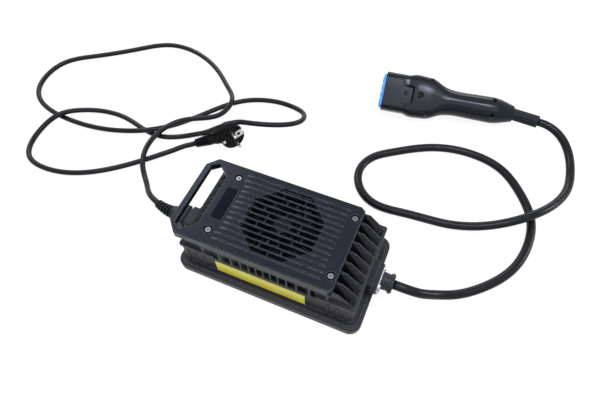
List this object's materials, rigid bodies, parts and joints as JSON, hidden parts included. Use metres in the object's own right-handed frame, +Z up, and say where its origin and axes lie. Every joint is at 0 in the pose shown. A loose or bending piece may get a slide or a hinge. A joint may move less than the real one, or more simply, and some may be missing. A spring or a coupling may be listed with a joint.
{
  "type": "battery charger",
  "caption": "Fan-cooled battery charger in a black finned die-cast case with a carry handle, a mains lead with plug and an output lead with a hand-held connector.",
  "frame": {"origin": "on the floor under the middle of the case", "axes": "+Z up, +X along the case towards its output end, +Y towards the side that the leads are laid out on"},
  "size_m": [0.8648, 0.4373, 0.0861],
  "materials": {
    "case_paint": "satin",
    "cover_plastic": "satin",
    "black_plastic": "satin",
    "handle_plastic": "semi-gloss",
    "inlay": "semi-gloss",
    "label": "satin",
    "rubber": "matte",
    "cord_rubber": "satin",
    "steel": "brushed",
    "nickel": "polished",
    "black_steel": "satin",
    "brass": "satin",
    "copper": "satin",
    "ferrite": "matte",
    "board": "satin",
    "blue_plastic": "semi-gloss",
    "red_plastic": "satin"
  },
  "bodies": {
    "root": {"rubber_feet": "rubber", "base_pan": "case_paint", "base_screws": "steel", "gasket": "rubber", "heat_sink": "case_paint", "fan_frame": "black_plastic", "fan_screws": "steel", "top_cover": "cover_plastic", "inlay_panel": "inlay", "cover_screws": "steel", "side_label": "label", "circuit_board": "board", "board_screws": "steel", "transformer_core": "ferrite", "transformer_winding": "copper", "chokes": "copper", "capacitors": "blue_plastic", "power_transistors": "black_plastic", "rectifier": "black_plastic", "relay": "blue_plastic", "fuse": "steel", "control_card": "board", "inner_leads": "red_plastic", "inlet_socket": "black_plastic", "inlet_blades": "brass", "mains_coupler": "black_plastic", "coupler_collar": "black_plastic", "coupler_relief": "rubber", "mains_cord": "cord_rubber", "plug_relief": "rubber", "plug_body": "black_plastic", "plug_pins": "nickel", "plug_earth": "nickel", "outlet_block": "black_plastic", "outlet_plate": "steel", "plate_screws": "steel", "cable_gland": "black_plastic", "output_cord": "cord_rubber", "connector_boot": "rubber", "handle_upper": "handle_plastic", "handle_lower": "handle_plastic", "connector_housing": "handle_plastic", "contact_block": "blue_plastic", "connector_contacts": "brass", "connector_screws": "black_steel"},
    "impeller": {"fan_impeller": "black_plastic"}
  },
  "joints": [
    {"name": "fan_spin", "type": "hinge", "parent": "root", "child": "impeller", "pos_m": [0, 0, 0.073], "axis": [0, 0, 1], "continuous": true}
  ]
}
